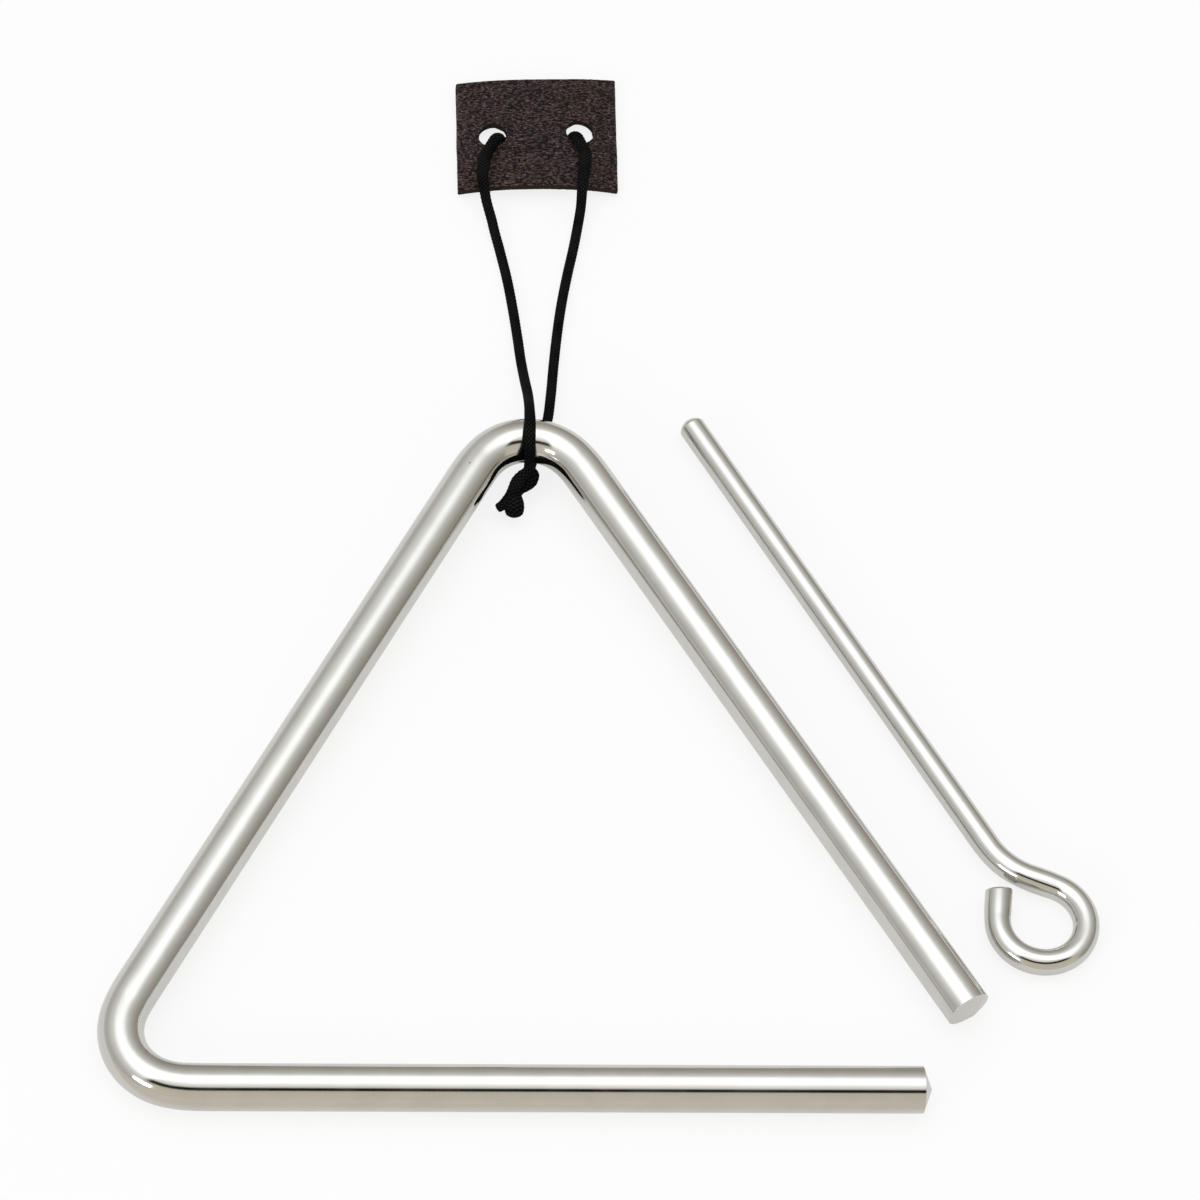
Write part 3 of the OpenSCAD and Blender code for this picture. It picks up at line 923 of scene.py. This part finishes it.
def plating(name, marks, radius, tones, values):
    """Nickel plate on a drawn steel rod, with its own tones and marks, and duller on its turned ends."""
    material, tree, shader = new_material(name)
    place = read_attribute(tree, "straightened", "Vector")
    made = add_node(tree, "ShaderNodeGroup", {"Place": place, **values}, node_tree=marks)
    across = stretched(tree, place, 0.0, 1.0, 1.0)
    from_axis = add_node(tree, "ShaderNodeVectorMath", {0: across}, operation="LENGTH").outputs["Value"]
    turned = map_range(tree, from_axis, radius * TURNED_SHARES[0], radius * TURNED_SHARES[1])
    rings = math_node(tree, "SINE", product(tree, from_axis, 2 * math.pi / TURNING_PITCH))
    height = total(tree, made.outputs["Height"], product(tree, rings, product(tree, turned, RING_HEIGHT)))
    rough = total(tree, made.outputs["Roughness"], product(tree, turned, TURNED_ROUGHNESS))
    light, dark = tones
    tone = mix_colour(tree, map_range(tree, made.outputs["Cloud"], 0.3, 0.7), dark, light)
    tone = mix_colour(tree, made.outputs["Speck"], tone, SPECK_TONE)
    dress(tree, shader, tone, rough, height, PLATING_RELIEF)
    shader.inputs["Metallic"].default_value = 1.0
    return material


def leather_finish():
    """Dark pebble-grained leather with painted shade in its creases: glossy on its grain, matt and fibrous
    on its cut edges and flesh side.
    """
    material, tree, shader = new_material("dark_leather")
    place = add_node(tree, "ShaderNodeTexCoord").outputs["Object"]
    face = read_attribute(tree, "tab_face")
    grain = read_attribute(tree, "grain_height")
    wrinkle = noise_value(tree, stretched(tree, place, 0.42, 1.0, 1.0), WRINKLE_SCALE, 2.5, 0.6)
    wide = stretched(tree, place, 0.55, 1.0, 1.0)
    pores = add_node(tree, "ShaderNodeTexVoronoi", {"Vector": wide, "Scale": PORE_SCALE},
                     feature="DISTANCE_TO_EDGE")
    pore_height = map_range(tree, pores.outputs["Distance"], 0.0, 0.25)
    stain = map_range(tree, noise_value(tree, place, STAIN_SCALE, 2.0), 0.35, 0.65)
    fibre = noise_value(tree, stretched(tree, place, 1.0, 1.0, 0.35), FIBRE_SCALE, 4.0, 0.65)
    # Painted shade: where the grain is low and between the wrinkles' ridges the tone goes to the near-black
    # crease shade, while the ridges keep the lighter leather tones as if lit; the same share makes the
    # ridges glossier
    crease = map_range(tree, map_range(tree, grain, 0.05, 0.75), 0.0, 1.0, 0.45, 1.0)
    ridge_lit_share = product(tree, map_range(tree, wrinkle, 0.46, 0.57), crease)
    on_edge = map_range(tree, face, 0.35, 0.9)
    on_flesh = map_range(tree, face, 1.2, 1.8)
    tone = mix_colour(tree, ridge_lit_share, PAINTED_CREASE_SHADE, mix_colour(tree, stain, *LEATHER_TONES))
    tone = mix_colour(tree, on_edge, tone, mix_colour(tree, fibre, *EDGE_TONES))
    tone = mix_colour(tree, on_flesh, tone, mix_colour(tree, fibre, *FLESH_TONES))
    gloss = map_range(tree, ridge_lit_share, 0.0, 1.0, 0.75, 0.36)
    rough = math_node(tree, "ADD", gloss, product(tree, on_edge, 0.45), clamp=True)
    skin = total(tree, product(tree, pore_height, 0.4), product(tree, wrinkle, 2.0))
    height = add_node(tree, "ShaderNodeMix", {0: on_edge, 2: skin, 3: fibre}, data_type="FLOAT").outputs[0]
    dress(tree, shader, tone, rough, height, LEATHER_RELIEF)
    shader.inputs["Specular IOR Level"].default_value = 0.15
    return material


def cord_finish():
    """Fine black braid: each strand has its own filaments, and its back is painted a little lighter than the
    painted shade in the gaps between strands.
    """
    material, tree, shader = new_material("black_braid")
    place = read_attribute(tree, "braid_place", "Vector")
    height = read_attribute(tree, "braid_height")
    filaments = noise_value(tree, stretched(tree, place, 0.5, 1.0, 1.0), FILAMENT_SCALE, 2.0)
    worn = map_range(tree, noise_value(tree, place, WORN_SCALE, 2.0), 0.4, 0.75)
    # Painted shade: the gaps between the strands are darker and the strands' backs lighter, by the braid's
    # height
    tone = mix_colour(tree, map_range(tree, height, 0.35, 0.95), *BRAID_SHADED_AND_LIT_TONES)
    tone = mix_colour(tree, product(tree, worn, 0.6), tone, WORN_TONE)
    rough = map_range(tree, filaments, 0.3, 0.7, 0.6, 0.82)
    dress(tree, shader, tone, rough, filaments, BRAID_FINE_RELIEF, strength=0.7)
    shader.inputs["Specular IOR Level"].default_value = 0.015
    return material


# Table and light

FLOOR_R = 4.0
FLOOR_SIDES = 64
TABLE_TONE = (0.86, 0.86, 0.855)
# How much of the table's own light is seen directly and in mirrors, which show it warm in front
SEEN_SHARE, MIRRORED_SHARE = 0.82, 0.5
WARM_TONE = (0.72, 0.60, 0.46)
WARM_FROM, WARM_FULL = -0.113, -0.122
# The studio's light by elevation in degrees, as a quarter of its level, so that a ramp can hold it
STUDIO_STRENGTH = 4.0
WALL_LIGHT = (
    (0, (0.115, 0.108, 0.099)), (9, (0.109, 0.102, 0.093)), (20, (0.130, 0.123, 0.113)),
    (30, (0.148, 0.144, 0.136)), (41, (0.184, 0.184, 0.178)), (50, (0.222, 0.224, 0.224)),
    (57, (0.31, 0.315, 0.32)), (63, (0.42, 0.425, 0.44)), (72, (0.50, 0.505, 0.53)),
)
LEFT_WALL_LIGHT = (
    (0, (0.175, 0.173, 0.170)), (8, (0.176, 0.174, 0.171)), (16, (0.154, 0.151, 0.147)),
    (28, (0.188, 0.186, 0.180)), (44, (0.24, 0.242, 0.243)), (51.5, (0.31, 0.315, 0.32)),
    (58, (0.41, 0.415, 0.43)), (72, (0.50, 0.505, 0.53)),
)
FRONT_LIGHT = (
    (0, (0.198, 0.186, 0.166)), (36, (0.188, 0.176, 0.152)), (44, (0.165, 0.152, 0.128)),
    (46.5, (0.005, 0.005, 0.004)), (57.5, (0.004, 0.004, 0.004)), (61.5, (0.20, 0.20, 0.192)),
    (67, (0.27, 0.27, 0.262)), (74, (0.33, 0.33, 0.328)), (86, (0.46, 0.462, 0.47)),
)
# The front's middle, and where its soft borders begin and end on both sides of that, in degrees
FRONT_AT, FRONT_BORDERS = 9.0, (60.0, 47.0)
LEFT_BORDERS = (0.0, -0.3)
LAMP_TURN, LAMP_LIFT, LAMP_FAR = math.radians(-43.5), math.radians(24), 1.6
LAMP_W, LAMP_H, LAMP_POWER = 0.5, 0.3, 4.5


def make_table():
    """A pale table that keeps the soft shadows of what lies on it."""
    turns = [2 * math.pi * k / FLOOR_SIDES for k in range(FLOOR_SIDES)]
    ring = [(FLOOR_R * math.cos(t), FLOOR_R * math.sin(t), 0) for t in turns]
    material, tree, shader = new_material("pale_table")
    table = make_mesh("table", ring, [tuple(range(FLOOR_SIDES))], material)
    shader.inputs["Base Color"].default_value = (*TABLE_TONE, 1)
    shader.inputs["Roughness"].default_value = 0.9
    shader.inputs["Specular IOR Level"].default_value = 0.1
    rays = add_node(tree, "ShaderNodeLightPath").outputs
    mirrored = math_node(tree, "MAXIMUM", rays["Is Glossy Ray"], rays["Is Transmission Ray"])
    share = math_node(tree, "MAXIMUM", product(tree, rays["Is Camera Ray"], SEEN_SHARE),
                      product(tree, mirrored, MIRRORED_SHARE))
    place = add_node(tree, "ShaderNodeNewGeometry").outputs["Position"]
    up = add_node(tree, "ShaderNodeSeparateXYZ", {0: place}).outputs[1]
    in_front = product(tree, mirrored, map_range(tree, up, WARM_FROM, WARM_FULL))
    glow = mix_colour(tree, in_front, (1, 1, 1), WARM_TONE)
    white = add_node(tree, "ShaderNodeEmission", {"Color": glow, "Strength": 1.0})
    mixed = add_node(tree, "ShaderNodeMixShader", {0: share})
    link_chain(tree, shader.outputs[0], mixed.inputs[1], white.outputs[0], mixed.inputs[2],
               mixed.outputs[0], tree.nodes["Material Output"].inputs["Surface"])


def elevation_ramp(tree, elevation, stops):
    """Colours by elevation, given as (degrees, colour) from the horizon to straight up."""
    ramp = add_node(tree, "ShaderNodeValToRGB", {0: math_node(tree, "DIVIDE", elevation, 90.0, clamp=True)})
    elements = ramp.color_ramp.elements
    while len(elements) < len(stops):
        elements.new(0.5)
    for element, (degrees, _) in zip(elements, stops):
        element.position = degrees / 90
    for element, (_, colour) in zip(elements, stops):
        element.color = (*colour, 1)
    return ramp.outputs[0]


def make_studio():
    """A soft box overhead, grey walls, and a beige side in front with a dark gap above it."""
    world = bpy.data.worlds.new("studio")
    bpy.context.scene.world = world
    world.use_nodes = True
    tree = world.node_tree
    way = add_node(tree, "ShaderNodeTexCoord").outputs["Generated"]
    x, y, z = add_node(tree, "ShaderNodeSeparateXYZ", {0: way}).outputs
    elevation = product(tree, math_node(tree, "ARCSINE", z), 180 / math.pi)
    azimuth = product(tree, math_node(tree, "ARCTAN2", x, product(tree, y, -1.0)), 180 / math.pi)
    walls, left_walls, front = (elevation_ramp(tree, elevation, stops)
                                for stops in (WALL_LIGHT, LEFT_WALL_LIGHT, FRONT_LIGHT))
    walls = mix_colour(tree, map_range(tree, x, *LEFT_BORDERS), walls, left_walls)
    off_front = math_node(tree, "ABSOLUTE", math_node(tree, "SUBTRACT", azimuth, FRONT_AT))
    is_front = map_range(tree, off_front, *FRONT_BORDERS)
    background = tree.nodes["Background"]
    link_chain(tree, mix_colour(tree, is_front, walls, front), background.inputs["Color"])
    background.inputs["Strength"].default_value = STUDIO_STRENGTH


def make_side_lamp():
    """A small soft lamp low in front on the left."""
    data = bpy.data.lights.new("side_lamp", "AREA")
    data.shape = "RECTANGLE"
    data.size, data.size_y = LAMP_W, LAMP_H
    data.energy = LAMP_POWER
    lamp = put("side_lamp", data)
    flat = math.cos(LAMP_LIFT)
    way = Vector((math.sin(LAMP_TURN) * flat, -math.cos(LAMP_TURN) * flat, math.sin(LAMP_LIFT)))
    lamp.location = way * LAMP_FAR
    lamp.rotation_mode = "QUATERNION"
    lamp.rotation_quaternion = way.to_track_quat("Z", "Y")


make_camera()
braid = cord_finish()
cord_piece, cord_points = holder_cord(braid)
knot_piece = knot(braid)
marks = plating_marks_group()
sweeping = sweep_tree()
triangle_rod(sweeping, plating("triangle_nickel", marks, ROD_D / 2, ROD_TONES, {}))
beater(sweeping, plating("beater_nickel", marks, BEATER_D / 2, BEATER_TONES,
                         {"Line Pitch": BEATER_LINE_SCALE, "Speck Share": BEATER_SPECK_SHARE}))
leather_tab(leather_finish())
make_table()
make_studio()
make_side_lamp()
bpy.context.scene.view_settings.view_transform = "Standard"
